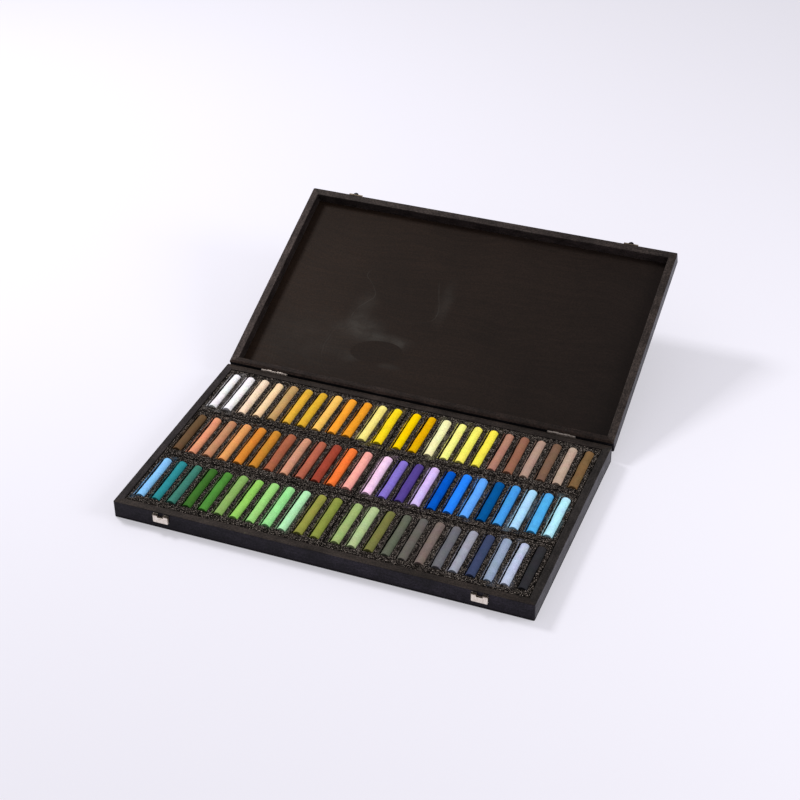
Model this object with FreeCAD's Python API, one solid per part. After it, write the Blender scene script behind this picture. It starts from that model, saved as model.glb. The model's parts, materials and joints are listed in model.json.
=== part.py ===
import FreeCAD, Part
import math
import os

# A flat wooden case for round pastel sticks: a tray and a lid, each a mitred frame of rails with a thin
# plywood panel glued over its outer face, joined by two butt hinges and shut by two flap latches.
# The tray holds six foam inserts, each with a row of pockets for the sticks.
# Millimetres and degrees. X runs along the hinge line, Y from front to back, Z up.
# The origin is the centre of the tray's underside. The lid is built shut, then swung open.

# Case
CASE_WIDTH = 440.0
CASE_DEPTH = 262.0
RAIL_THICKNESS = 8.5
PANEL_THICKNESS = 3.0
TRAY_HEIGHT = 19.5
LID_HEIGHT = 15.0
RIM_GAP = 0.3            # between the two rims when the lid is shut
CORNER_RADIUS = 1.4      # upright corners of the case
RIM_RADIUS = 0.7         # edges of the rims and of the panels' outer faces
LID_OPEN_ANGLE = 159.0

# Foam inserts and sticks
INSERT_COLUMNS = 2
INSERT_ROWS = 3
STICKS_PER_INSERT = 12
STICKS_PER_GROUP = 3
FOAM_THICKNESS = 16.0
FOAM_SIDE_GAP = 0.2      # between one insert and the next, and to the rails
FOAM_SEAT_GAP = 0.1
POCKET_DEPTH = 7.9
POCKET_SIDE_GAP = 1.2
POCKET_END_GAP = 1.0
FOAM_END_WALL = 4.7      # from the side of an insert to its first and last pockets
STICK_DIAMETER = 9.6
STICK_LENGTH = 62.5
STICK_SEAT_GAP = 0.2
# How far the loose sticks of each insert lie from the middles of their pockets, to the right and the back
STICK_SHIFTS = {"front_left": (0.4, 0.4), "front_right": (0.8, 0.0),
                "middle_left": (-0.3, 0.5), "middle_right": (0.0, -0.2),
                "back_left": (0.5, 0.3), "back_right": (0.8, -0.6)}

# Butt hinges, screwed to the two back faces
HINGE_INSET = 55.5       # hinge centre to the side of the case
HINGE_LENGTH = 30.0
HINGE_KNUCKLES = 5
KNUCKLE_GAP = 0.15
HINGE_BARREL_RADIUS = 1.0
HINGE_BARREL_STANDOFF = 0.55
HINGE_PIN_RADIUS = 0.5
HINGE_LEAF_THICKNESS = 0.8
HINGE_LEAF_REACH = 9.0   # from the pin to the leaf's free edge
HINGE_LEAF_CORNER = 1.0
SCREW_SPACING = 17.0
SCREW_DROP = 5.3         # from the pin to the screws
SCREW_HEAD_RADIUS = 1.9
SCREW_SHANK_RADIUS = 0.8
SCREW_LENGTH = 6.5
SCREW_SLOT_WIDTH = 0.6
SCREW_SLOT_DEPTH = 0.7
STOP_CLEARANCE = 0.06    # between facing screw heads, on which the open lid rests

# Flap latches, nailed to the two front faces
LATCH_INSET = 53.5       # latch centre to the side of the case
LATCH_WIDTH = 16.3
LATCH_PLATE_THICKNESS = 0.6
LATCH_NOTCH_WIDTH = 6.8
LATCH_PIN_DROP = 1.7     # pin centre below the tray's rim
LATCH_PIN_STANDOFF = 2.3
LATCH_PIN_RADIUS = 0.45
LATCH_KNUCKLE_RADIUS = 1.1
LATCH_BASE_REACH = 8.8
FLAP_THICKNESS = 0.7
FLAP_REACH = 9.2
FLAP_CORNER = 0.8
KEEPER_OVERHANG = 0.2    # past the lid's rim, towards the tray
KEEPER_HEIGHT = 9.0
KEEPER_ROLL_RADIUS = 0.9
TONGUE_REACH = 3.6       # how far it stands out of the case's front
TONGUE_THICKNESS = 0.9
TONGUE_FOOT_HEIGHT = 3.6
LATCH_CLEARANCE = 0.2    # round the tongue in the flap's notch, and round the fixed knuckles
NAIL_SPACING = 10.0
NAIL_DROP = 6.0          # from the pin down to the base plate's nails
NAIL_RISE = 6.5          # from the lid's rim up to the keeper's nails
NAIL_HEAD_RADIUS = 1.1
NAIL_HEAD_THICKNESS = 0.45
NAIL_SHANK_RADIUS = 0.5
NAIL_LENGTH = 5.5

HOLE_CLEARANCE = 0.03    # radial, round every pin, screw and nail
HOLE_END_GAP = 0.5
OVERCUT = 1.0            # how far a cut runs on past the face that it opens

# Derived places
front_y = -CASE_DEPTH / 2
back_y = CASE_DEPTH / 2
lid_rim_z = TRAY_HEIGHT + RIM_GAP
lid_top_z = lid_rim_z + LID_HEIGHT
hinge_y = back_y + HINGE_BARREL_STANDOFF + HINGE_BARREL_RADIUS
hinge_z = TRAY_HEIGHT + RIM_GAP / 2
hinge_centres = {"left": HINGE_INSET - CASE_WIDTH / 2, "right": CASE_WIDTH / 2 - HINGE_INSET}
latch_centres = {"left": LATCH_INSET - CASE_WIDTH / 2, "right": CASE_WIDTH / 2 - LATCH_INSET}
latch_pin_y = front_y - LATCH_PIN_STANDOFF
latch_pin_z = TRAY_HEIGHT - LATCH_PIN_DROP
keeper_low_z = lid_rim_z - KEEPER_OVERHANG
tongue_top_z = keeper_low_z + TONGUE_THICKNESS
base_nail_z = latch_pin_z - NAIL_DROP
keeper_nail_z = lid_rim_z + NAIL_RISE
X_AXIS = FreeCAD.Vector(1, 0, 0)
Y_AXIS = FreeCAD.Vector(0, 1, 0)


def box(x0, x1, y0, y1, z0, z1):
    return Part.makeBox(x1 - x0, y1 - y0, z1 - z0, FreeCAD.Vector(x0, y0, z0))


def rod_along_x(x0, x1, y, z, radius):
    return Part.makeCylinder(radius, x1 - x0, FreeCAD.Vector(x0, y, z), X_AXIS)


def rod_along_y(x, y0, y1, z, radius):
    return Part.makeCylinder(radius, y1 - y0, FreeCAD.Vector(x, y0, z), Y_AXIS)


def swing_open(shape):
    """Turns a piece of the shut lid about the hinge pins to where the open lid rests."""
    opened = shape.copy()
    opened.rotate(FreeCAD.Vector(0, hinge_y, hinge_z), X_AXIS, -LID_OPEN_ANGLE)
    return opened


def save(name, solids):
    shape = solids[0] if len(solids) == 1 else Part.makeCompound(solids)
    shape.exportStep("parts/" + name + ".step")


# Frames and panels -----------------------------------------------------------------------------------

def edges_at_height(shape, z):
    return [edge for edge in shape.Edges
            if all(abs(vertex.Z - z) < 1e-6 for vertex in edge.Vertexes)]


def case_slab(z0, z1):
    """The case's outline between two heights, with its upright corners rounded."""
    slab = box(-CASE_WIDTH / 2, CASE_WIDTH / 2, front_y, back_y, z0, z1)
    upright = [edge for edge in slab.Edges
               if abs(edge.Vertexes[0].Z - edge.Vertexes[1].Z) > (z1 - z0) / 2]
    return slab.makeFillet(CORNER_RADIUS, upright)


def frame_ring(z_glued, z_rim):
    """A frame of four rails, still in one piece, with the edges of its rim softened."""
    z0, z1 = min(z_glued, z_rim), max(z_glued, z_rim)
    inner_x = CASE_WIDTH / 2 - RAIL_THICKNESS
    inner_y = CASE_DEPTH / 2 - RAIL_THICKNESS
    ring = case_slab(z0, z1).cut(box(-inner_x, inner_x, -inner_y, inner_y, z0 - OVERCUT, z1 + OVERCUT))
    return ring.makeFillet(RIM_RADIUS, edges_at_height(ring, z_rim))


def mitre_wedge(side, z0, z1):
    """A prism over one side of the case, bounded by the mitres at both its corners."""
    reach = RAIL_THICKNESS + OVERCUT
    half_x, half_y = CASE_WIDTH / 2, CASE_DEPTH / 2
    outline = {
        "front": [(-1, -1, 0), (1, -1, 0), (1, -1, reach), (-1, -1, reach)],
        "back": [(-1, 1, 0), (1, 1, 0), (1, 1, reach), (-1, 1, reach)],
        "left": [(-1, -1, 0), (-1, 1, 0), (-1, 1, reach), (-1, -1, reach)],
        "right": [(1, -1, 0), (1, 1, 0), (1, 1, reach), (1, -1, reach)],
    }[side]
    points = [FreeCAD.Vector(sx * (half_x - inset), sy * (half_y - inset), z0) for sx, sy, inset in outline]
    face = Part.Face(Part.makePolygon(points + points[:1]))
    return face.extrude(FreeCAD.Vector(0, 0, z1 - z0))


def panel(z_glued, z_outer):
    """The plywood over a frame's outer face, flush with the rails all round."""
    slab = case_slab(min(z_glued, z_outer), max(z_glued, z_outer))
    return slab.makeFillet(RIM_RADIUS, edges_at_height(slab, z_outer))


def fastener_holes(x_centre, spacing, y_face, inwards, z, shank_radius, length):
    """Blind holes for a pair of screws or nails driven into a rail."""
    y_end = y_face + inwards * (length + HOLE_END_GAP)
    radius = shank_radius + HOLE_CLEARANCE
    return [rod_along_y(x_centre + side * spacing / 2, min(y_face, y_end), max(y_face, y_end), z, radius)
            for side in (-1, 1)]


def hinge_holes(z):
    holes = []
    for x in hinge_centres.values():
        holes += fastener_holes(x, SCREW_SPACING, back_y, -1, z, SCREW_SHANK_RADIUS, SCREW_LENGTH)
    return holes


def latch_holes(z):
    holes = []
    for x in latch_centres.values():
        holes += fastener_holes(x, NAIL_SPACING, front_y, 1, z, NAIL_SHANK_RADIUS, NAIL_LENGTH)
    return holes


def rails(z_glued, z_rim, back_holes, front_holes):
    ring = frame_ring(z_glued, z_rim)
    z0, z1 = min(z_glued, z_rim), max(z_glued, z_rim)
    cut_rails = {side: ring.common(mitre_wedge(side, z0, z1)) for side in ("front", "back", "left", "right")}
    cut_rails["back"] = cut_rails["back"].cut(back_holes)
    cut_rails["front"] = cut_rails["front"].cut(front_holes)
    return cut_rails


# Butt hinge ------------------------------------------------------------------------------------------

def knuckle_spans(x_centre):
    """Where each knuckle of a hinge starts and ends, with whose it is: the tray leaf has the outer ones."""
    pitch = (HINGE_LENGTH + KNUCKLE_GAP) / HINGE_KNUCKLES
    start = x_centre - HINGE_LENGTH / 2
    return [(start + i * pitch, start + (i + 1) * pitch - KNUCKLE_GAP, "tray" if i % 2 == 0 else "lid")
            for i in range(HINGE_KNUCKLES)]


def hinge_leaf(x_centre, owner):
    """A leaf on the back face, rolled round the pin at its own knuckles and cut back at the other's."""
    down = -1 if owner == "tray" else 1
    z_edge = hinge_z + down * HINGE_LEAF_REACH
    plate = box(x_centre - HINGE_LENGTH / 2, x_centre + HINGE_LENGTH / 2, back_y,
                back_y + HINGE_LEAF_THICKNESS, min(hinge_z, z_edge), max(hinge_z, z_edge))
    corners = [edge for edge in plate.Edges
               if all(abs(vertex.Z - z_edge) < 1e-6 for vertex in edge.Vertexes)
               and abs(edge.Vertexes[0].X - edge.Vertexes[1].X) < 1e-6]
    leaf = plate.makeFillet(HINGE_LEAF_CORNER, corners)
    knuckles, gaps = [], []
    for x0, x1, knuckle_owner in knuckle_spans(x_centre):
        if knuckle_owner == owner:
            knuckles.append(rod_along_x(x0, x1, hinge_y, hinge_z, HINGE_BARREL_RADIUS))
        else:
            clear = HINGE_BARREL_RADIUS + KNUCKLE_GAP
            gaps.append(box(x0 - KNUCKLE_GAP, x1 + KNUCKLE_GAP, back_y - OVERCUT, hinge_y + clear,
                            hinge_z - clear, hinge_z + clear))
    leaf = leaf.cut(gaps).fuse(knuckles)
    bore = rod_along_x(x_centre - HINGE_LENGTH, x_centre + HINGE_LENGTH, hinge_y, hinge_z,
                       HINGE_PIN_RADIUS + HOLE_CLEARANCE)
    holes = [rod_along_y(x_centre + side * SCREW_SPACING / 2, back_y - OVERCUT, hinge_y,
                         hinge_z + down * SCREW_DROP, SCREW_SHANK_RADIUS + HOLE_CLEARANCE)
             for side in (-1, 1)]
    return leaf.cut([bore] + holes).removeSplitter()


def hinge_pin(x_centre):
    return rod_along_x(x_centre - HINGE_LENGTH / 2, x_centre + HINGE_LENGTH / 2, hinge_y, hinge_z,
                       HINGE_PIN_RADIUS)


def screw_head_height():
    """The height at which the heads in the two leaves meet as the lid reaches its open angle."""
    half_wedge = math.radians(180 - LID_OPEN_ANGLE) / 2
    fold = (SCREW_DROP * math.sin(half_wedge) - SCREW_HEAD_RADIUS * (1 - math.cos(half_wedge))
            - STOP_CLEARANCE / 2) / math.cos(half_wedge)
    return hinge_y - back_y - HINGE_LEAF_THICKNESS + fold


def hinge_screw(x, z):
    """A slotted round-head wood screw through a leaf into the back rail, turned about its own axis."""
    head_height = screw_head_height()
    seat_y = back_y + HINGE_LEAF_THICKNESS
    top_y = seat_y + head_height
    tip_y = back_y - SCREW_LENGTH
    dome_radius = (SCREW_HEAD_RADIUS ** 2 + head_height ** 2) / (2 * head_height)
    half_arc = math.atan2(SCREW_HEAD_RADIUS, dome_radius - head_height) / 2

    def at(radius, y):
        return FreeCAD.Vector(x + radius, y, z)

    halfway = at(dome_radius * math.sin(half_arc), top_y - dome_radius * (1 - math.cos(half_arc)))
    outline = [Part.makePolygon([at(0, top_y), at(0, tip_y), at(SCREW_SHANK_RADIUS, tip_y),
                                 at(SCREW_SHANK_RADIUS, seat_y), at(SCREW_HEAD_RADIUS, seat_y)]),
               Part.Arc(at(SCREW_HEAD_RADIUS, seat_y), halfway, at(0, top_y)).toShape()]
    edges = [edge for piece in outline for edge in piece.Edges]
    screw = Part.Face(Part.Wire(edges)).revolve(at(0, tip_y), Y_AXIS, 360)
    slot = box(x - SCREW_SLOT_WIDTH / 2, x + SCREW_SLOT_WIDTH / 2, top_y - SCREW_SLOT_DEPTH, top_y + OVERCUT,
               z - SCREW_HEAD_RADIUS - OVERCUT, z + SCREW_HEAD_RADIUS + OVERCUT)
    return screw.cut(slot)


def hinge_screws(down):
    z = hinge_z + down * SCREW_DROP
    return [hinge_screw(x + side * SCREW_SPACING / 2, z) for x in hinge_centres.values() for side in (-1, 1)]


# Flap latch ------------------------------------------------------------------------------------------

def outwards(p):
    """The Y of a point that stands p proud of the case's front face."""
    return front_y - p


def ear_spans(x_centre):
    """The latch's four knuckles: the flap has the outer pair, the base plate the inner pair."""
    ear = (LATCH_WIDTH - LATCH_NOTCH_WIDTH) / 2
    knuckle = (ear - KNUCKLE_GAP) / 2
    spans = []
    for side in (-1, 1):
        for owner, far in (("flap", LATCH_WIDTH / 2), ("base", LATCH_WIDTH / 2 - knuckle - KNUCKLE_GAP)):
            x0, x1 = sorted((x_centre + side * far, x_centre + side * (far - knuckle)))
            spans.append((x0, x1, owner))
    return spans


def notch_depth():
    """From the pin to the notch's far edge, so that the flap clears the keeper's tongue as it swings up."""
    return math.hypot(TONGUE_REACH - LATCH_PIN_STANDOFF, tongue_top_z - latch_pin_z) + LATCH_CLEARANCE


def notch(x_centre):
    half = LATCH_NOTCH_WIDTH / 2
    return box(x_centre - half, x_centre + half,
               outwards(LATCH_PIN_STANDOFF + LATCH_KNUCKLE_RADIUS + OVERCUT), front_y + OVERCUT,
               latch_pin_z - notch_depth(), TRAY_HEIGHT + OVERCUT)


def latch_pin_bore(x_centre):
    return rod_along_x(x_centre - LATCH_WIDTH, x_centre + LATCH_WIDTH, latch_pin_y, latch_pin_z,
                       LATCH_PIN_RADIUS + HOLE_CLEARANCE)


def nail_holes(x_centre, z):
    return [rod_along_y(x_centre + side * NAIL_SPACING / 2, outwards(LATCH_PLATE_THICKNESS + OVERCUT),
                        front_y + OVERCUT, z, NAIL_SHANK_RADIUS + HOLE_CLEARANCE) for side in (-1, 1)]


def latch_base(x_centre):
    """The plate on the tray, whose inner knuckles stand out on short lugs to carry the pin."""
    half = LATCH_WIDTH / 2
    lug = LATCH_KNUCKLE_RADIUS / 2
    plate = box(x_centre - half, x_centre + half, outwards(LATCH_PLATE_THICKNESS), front_y,
                latch_pin_z - LATCH_BASE_REACH, latch_pin_z + lug)
    pieces = []
    for x0, x1, owner in ear_spans(x_centre):
        if owner == "base":
            pieces.append(rod_along_x(x0, x1, latch_pin_y, latch_pin_z, LATCH_KNUCKLE_RADIUS))
            pieces.append(box(x0, x1, latch_pin_y, front_y, latch_pin_z - lug, latch_pin_z + lug))
    body = plate.fuse(pieces)
    return body.cut([notch(x_centre), latch_pin_bore(x_centre)] + nail_holes(x_centre, base_nail_z)).removeSplitter()


def latch_flap(x_centre):
    """The flap hanging from its outer knuckles, notched between the ears for the keeper's tongue."""
    half = LATCH_WIDTH / 2
    z_low = latch_pin_z - FLAP_REACH
    plate = box(x_centre - half, x_centre + half, latch_pin_y - FLAP_THICKNESS / 2,
                latch_pin_y + FLAP_THICKNESS / 2, z_low, latch_pin_z)
    corners = [edge for edge in plate.Edges
               if all(abs(vertex.Z - z_low) < 1e-6 for vertex in edge.Vertexes)
               and abs(edge.Vertexes[0].X - edge.Vertexes[1].X) < 1e-6]
    flap = plate.makeFillet(FLAP_CORNER, corners)
    knuckles = []
    clear = [notch(x_centre), latch_pin_bore(x_centre)]
    for x0, x1, owner in ear_spans(x_centre):
        if owner == "flap":
            knuckles.append(rod_along_x(x0, x1, latch_pin_y, latch_pin_z, LATCH_KNUCKLE_RADIUS))
        else:
            clear.append(rod_along_x(x0 - KNUCKLE_GAP, x1 + KNUCKLE_GAP, latch_pin_y, latch_pin_z,
                                     LATCH_KNUCKLE_RADIUS + LATCH_CLEARANCE))
    return flap.fuse(knuckles).cut(clear).removeSplitter()


def latch_pins(x_centre):
    """A short pin through each pair of knuckles, which leaves the notch between them clear."""
    return [rod_along_x(min(x_centre + side * LATCH_WIDTH / 2, x_centre + side * LATCH_NOTCH_WIDTH / 2),
                        max(x_centre + side * LATCH_WIDTH / 2, x_centre + side * LATCH_NOTCH_WIDTH / 2),
                        latch_pin_y, latch_pin_z, LATCH_PIN_RADIUS) for side in (-1, 1)]


def latch_keeper(x_centre):
    """The plate on the lid, with a rolled ear at each side of its lower edge."""
    half = LATCH_WIDTH / 2
    plate = box(x_centre - half, x_centre + half, outwards(LATCH_PLATE_THICKNESS), front_y,
                keeper_low_z, keeper_low_z + KEEPER_HEIGHT)
    ears = [rod_along_x(min(x_centre + side * half, x_centre + side * LATCH_NOTCH_WIDTH / 2),
                        max(x_centre + side * half, x_centre + side * LATCH_NOTCH_WIDTH / 2),
                        outwards(KEEPER_ROLL_RADIUS), keeper_low_z + KEEPER_ROLL_RADIUS, KEEPER_ROLL_RADIUS)
            for side in (-1, 1)]
    return plate.fuse(ears).cut(nail_holes(x_centre, keeper_nail_z)).removeSplitter()


def latch_tongue(x_centre):
    """The half-round catch between the keeper's ears, on a foot welded to the plate."""
    half = LATCH_NOTCH_WIDTH / 2 - LATCH_CLEARANCE
    seat_y = outwards(LATCH_PLATE_THICKNESS)
    disc = Part.makeCylinder(half, TONGUE_THICKNESS,
                             FreeCAD.Vector(x_centre, outwards(TONGUE_REACH - half), keeper_low_z))
    leaf = disc.common(box(x_centre - half, x_centre + half, outwards(TONGUE_REACH), seat_y,
                           keeper_low_z, tongue_top_z))
    foot = box(x_centre - half, x_centre + half, seat_y - LATCH_PLATE_THICKNESS, seat_y,
               keeper_low_z, keeper_low_z + TONGUE_FOOT_HEIGHT)
    return leaf.fuse(foot).removeSplitter()


def latch_nail(x, z):
    seat_y = outwards(LATCH_PLATE_THICKNESS)
    head = rod_along_y(x, seat_y - NAIL_HEAD_THICKNESS, seat_y, z, NAIL_HEAD_RADIUS)
    shank = rod_along_y(x, seat_y, front_y + NAIL_LENGTH, z, NAIL_SHANK_RADIUS)
    return head.fuse(shank)


def latch_nails(z):
    return [latch_nail(x + side * NAIL_SPACING / 2, z) for x in latch_centres.values() for side in (-1, 1)]


# Foam inserts and sticks -----------------------------------------------------------------------------

insert_width = (CASE_WIDTH - 2 * RAIL_THICKNESS - (INSERT_COLUMNS + 1) * FOAM_SIDE_GAP) / INSERT_COLUMNS
insert_depth = (CASE_DEPTH - 2 * RAIL_THICKNESS - (INSERT_ROWS + 1) * FOAM_SIDE_GAP) / INSERT_ROWS
foam_low_z = PANEL_THICKNESS + FOAM_SEAT_GAP
foam_top_z = foam_low_z + FOAM_THICKNESS
pocket_floor_z = foam_top_z - POCKET_DEPTH
stick_radius = STICK_DIAMETER / 2
stick_z = pocket_floor_z + STICK_SEAT_GAP + stick_radius
pocket_width = STICK_DIAMETER + 2 * POCKET_SIDE_GAP
pocket_pitch = (insert_width - 2 * FOAM_END_WALL - pocket_width) / (STICKS_PER_INSERT - 1)


def insert_centre(column, row):
    """Column 0 is at the left and row 0 at the front."""
    x = (column - (INSERT_COLUMNS - 1) / 2) * (insert_width + FOAM_SIDE_GAP)
    y = (row - (INSERT_ROWS - 1) / 2) * (insert_depth + FOAM_SIDE_GAP)
    return x, y


def stick_xs(column, row):
    x, _ = insert_centre(column, row)
    return [x + (i - (STICKS_PER_INSERT - 1) / 2) * pocket_pitch for i in range(STICKS_PER_INSERT)]


def foam_insert(column, row):
    x, y = insert_centre(column, row)
    block = box(x - insert_width / 2, x + insert_width / 2, y - insert_depth / 2, y + insert_depth / 2,
                foam_low_z, foam_top_z)
    half_length = STICK_LENGTH / 2 + POCKET_END_GAP
    pockets = [box(sx - pocket_width / 2, sx + pocket_width / 2, y - half_length, y + half_length,
                   pocket_floor_z, foam_top_z + OVERCUT) for sx in stick_xs(column, row)]
    return block.cut(pockets)


def pastel_stick(pocket_x, pocket_y, shift):
    x, y = pocket_x + shift[0], pocket_y + shift[1]
    return rod_along_y(x, y - STICK_LENGTH / 2, y + STICK_LENGTH / 2, stick_z, stick_radius)


# The pieces ------------------------------------------------------------------------------------------

os.makedirs("parts", exist_ok=True)

tray_rails = rails(PANEL_THICKNESS, TRAY_HEIGHT, hinge_holes(hinge_z - SCREW_DROP), latch_holes(base_nail_z))
lid_rails = rails(lid_top_z - PANEL_THICKNESS, lid_rim_z, hinge_holes(hinge_z + SCREW_DROP),
                  latch_holes(keeper_nail_z))
for side in ("front", "back", "left", "right"):
    save("tray_" + side + "_rail", [tray_rails[side]])
    save("lid_" + side + "_rail", [swing_open(lid_rails[side])])
save("tray_bottom_panel", [panel(PANEL_THICKNESS, 0)])
save("lid_top_panel", [swing_open(panel(lid_top_z - PANEL_THICKNESS, lid_top_z))])

row_names = ["front", "middle", "back"]
column_names = ["left", "right"]
for row in range(INSERT_ROWS):
    for column in range(INSERT_COLUMNS):
        place = row_names[row] + "_" + column_names[column]
        save("foam_insert_" + place, [foam_insert(column, row)])
        xs = stick_xs(column, row)
        centre_y = insert_centre(column, row)[1]
        for group in range(STICKS_PER_INSERT // STICKS_PER_GROUP):
            group_xs = xs[group * STICKS_PER_GROUP:(group + 1) * STICKS_PER_GROUP]
            save("sticks_" + place + "_" + str(group + 1),
                 [pastel_stick(x, centre_y, STICK_SHIFTS[place]) for x in group_xs])

for side, x in hinge_centres.items():
    save("hinge_" + side + "_tray_leaf", [hinge_leaf(x, "tray")])
    save("hinge_" + side + "_lid_leaf", [swing_open(hinge_leaf(x, "lid"))])
    save("hinge_" + side + "_pin", [hinge_pin(x)])
save("tray_hinge_screws", hinge_screws(-1))
save("lid_hinge_screws", [swing_open(screw) for screw in hinge_screws(1)])

for side, x in latch_centres.items():
    save("latch_" + side + "_base", [latch_base(x)])
    save("latch_" + side + "_flap", [latch_flap(x)])
    save("latch_" + side + "_pins", latch_pins(x))
    save("latch_" + side + "_keeper", [swing_open(latch_keeper(x))])
    save("latch_" + side + "_tongue", [swing_open(latch_tongue(x))])
save("latch_base_nails", latch_nails(base_nail_z))
save("latch_keeper_nails", [swing_open(nail) for nail in latch_nails(keeper_nail_z)])
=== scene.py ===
import json
import math
import random

import bpy
from mathutils import Matrix, Vector, noise


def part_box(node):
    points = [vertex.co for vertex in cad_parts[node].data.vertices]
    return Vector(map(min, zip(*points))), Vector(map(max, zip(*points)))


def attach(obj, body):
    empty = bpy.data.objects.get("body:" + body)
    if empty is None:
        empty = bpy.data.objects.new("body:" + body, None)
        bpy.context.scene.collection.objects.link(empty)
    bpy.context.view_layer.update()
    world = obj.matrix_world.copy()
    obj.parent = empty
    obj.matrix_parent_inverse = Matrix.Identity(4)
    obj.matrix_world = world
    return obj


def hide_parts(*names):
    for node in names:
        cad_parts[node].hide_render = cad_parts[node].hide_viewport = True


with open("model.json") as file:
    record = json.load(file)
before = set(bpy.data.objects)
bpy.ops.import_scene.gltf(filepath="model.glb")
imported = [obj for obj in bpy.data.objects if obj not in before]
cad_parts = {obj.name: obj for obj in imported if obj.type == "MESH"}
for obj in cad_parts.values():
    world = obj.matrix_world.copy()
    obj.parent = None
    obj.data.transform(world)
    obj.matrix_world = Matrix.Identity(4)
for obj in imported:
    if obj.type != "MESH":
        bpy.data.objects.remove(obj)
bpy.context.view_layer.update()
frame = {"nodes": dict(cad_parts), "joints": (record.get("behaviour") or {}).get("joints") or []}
bpy.ops.object.select_all(action="DESELECT")

# Camera -----------------------------------------------------------------------------------------------
# A long lens on a tripod at the front right of the case, looking down on it across the open tray.
# It leans by less than a degree.
camera_place = Vector((0.5524, -1.2991, 1.1034))
camera_heading = math.radians(21.653)
camera_fall = math.radians(35.149)
camera_lean = math.radians(-0.698)
film_width = 36.0
lens_length = 78.90
bpy.ops.object.camera_add()
camera = bpy.context.object
camera.name = "camera"
camera.matrix_world = (Matrix.Translation(camera_place) @ Matrix.Rotation(camera_heading, 4, "Z")
                       @ Matrix.Rotation(math.pi / 2 - camera_fall, 4, "X")
                       @ Matrix.Rotation(camera_lean, 4, "Z"))
camera.data.sensor_fit = "HORIZONTAL"
camera.data.sensor_width = film_width
camera.data.lens = lens_length
bpy.context.scene.camera = camera
bpy.context.scene.view_settings.view_transform = "Standard"

# Studio -----------------------------------------------------------------------------------------------
# A sheet of white paper for a floor, a soft box high on the left and a little behind the case,
# a wider, weaker one at the right, and pale walls all round.


def colour(code):
    """Linear red, green, blue and alpha of a colour written as six hexadecimal digits."""
    parts = [int(code[i:i + 2], 16) / 255 for i in (0, 2, 4)]
    return [p / 12.92 if p <= 0.04045 else ((p + 0.055) / 1.055) ** 2.4 for p in parts] + [1.0]


def new_material(name):
    """A node material, with its tree and its shader."""
    made = bpy.data.materials.new(name)
    made.use_nodes = True
    return made, made.node_tree, made.node_tree.nodes["Principled BSDF"]


def node(tree, kind, inputs=None, **settings):
    """A node of that kind in the tree. An input is a plain value, or the socket that feeds it."""
    made = tree.nodes.new("ShaderNode" + kind)
    for key, value in settings.items():
        setattr(made, key, value)
    for key, value in (inputs or {}).items():
        if isinstance(value, bpy.types.NodeSocket):
            tree.links.new(value, made.inputs[key])
        else:
            made.inputs[key].default_value = value
    return made


paper_width = 40.0
paper_glow = 0.36
wall_light = 0.49

bpy.ops.mesh.primitive_plane_add(size=paper_width)
floor = bpy.context.object
floor.name = "floor"
paper, tree, shader = new_material("white_paper")
shader.inputs["Base Color"].default_value = colour("F0EDF9")
shader.inputs["Roughness"].default_value = 0.9
shader.inputs["Specular IOR Level"].default_value = 0.1
ray = node(tree, "LightPath")
looked_at = node(tree, "Math", {0: ray.outputs["Is Camera Ray"], 1: ray.outputs["Is Glossy Ray"]},
                 operation="MAXIMUM")
glow_share = node(tree, "Math", {0: looked_at.outputs[0], 1: paper_glow}, operation="MULTIPLY")
glow = node(tree, "Emission", {"Color": colour("FDFCFF"), "Strength": 1.0})
lit_paper = node(tree, "MixShader", {0: glow_share.outputs[0], 1: shader.outputs[0], 2: glow.outputs[0]})
tree.links.new(lit_paper.outputs[0], tree.nodes["Material Output"].inputs["Surface"])
floor.data.materials.append(paper)

walls = bpy.data.worlds.new("pale_walls")
walls.use_nodes = True
walls.node_tree.nodes["Background"].inputs["Color"].default_value = colour("F6F5FB")
walls.node_tree.nodes["Background"].inputs["Strength"].default_value = wall_light
bpy.context.scene.world = walls


def soft_box(name, place, target, size, watts):
    """A square lamp that faces the target."""
    bpy.ops.object.light_add(type="AREA", location=place)
    lamp = bpy.context.object
    lamp.name = name
    lamp.rotation_euler = (Vector(target) - Vector(place)).to_track_quat("-Z", "Y").to_euler()
    lamp.data.shape = "RECTANGLE"
    lamp.data.size = size
    lamp.data.size_y = size
    lamp.data.energy = watts


soft_box("soft_box_left", (-1.25, 0.49, 1.43), (-0.05, 0.12, 0.0), 0.42, 20.5)
soft_box("soft_box_right", (1.30, 0.12, 0.80), (0.0, 0.1, 0.0), 0.6, 8.2)

# Stained rails ----------------------------------------------------------------------------------------
# Eight lengths of plain softwood, mitred and glued into the tray's frame and the lid's. They are stained
# black. The rims are a warmer, paler brown than the upright faces and carry crumbs of dropped chalk. Some
# of this is painted light: the lid's rims, the left one most, and all rims towards the left are painted
# lighter, a painted sheen of the lamp at the left; the outer upright faces are tinted blue and grow lighter
# towards the right, painted light from the front and the right lamp; and the faces by the hinges are painted
# darker, painted shade in the narrow gap there, and are duller.
open_angle = math.radians(159.0)
hinge_point = Vector(next(j["pos_m"] for j in frame["joints"] if j["name"] == "lid_hinge"))
shut = Matrix.Rotation(open_angle, 3, "X")
shut_shift = hinge_point - shut @ hinge_point
case_half_width = 0.220
rail_middle = (0.2158, 0.1268)
hinge_side_fade = 0.003
# The outer upright colour is the black stain tinted blue: painted cool light from the front.
outer_stain_and_cool_light = "1C191F"
inner_stain = "2A2423"
# Rim colours: the stain's own brown, with the lid's rims, the left one most, painted lighter as a painted
# sheen of the lamp at the left.
rim_stains_and_sheen = {
    "tray_front_rail": "2D2622", "tray_back_rail": "2A231F",
    "tray_left_rail": "2A2525", "tray_right_rail": "2A2624",
    "lid_front_rail": "322B28", "lid_back_rail": "251C18",
    "lid_left_rail": "3C3330", "lid_right_rail": "38302C",
}


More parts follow.
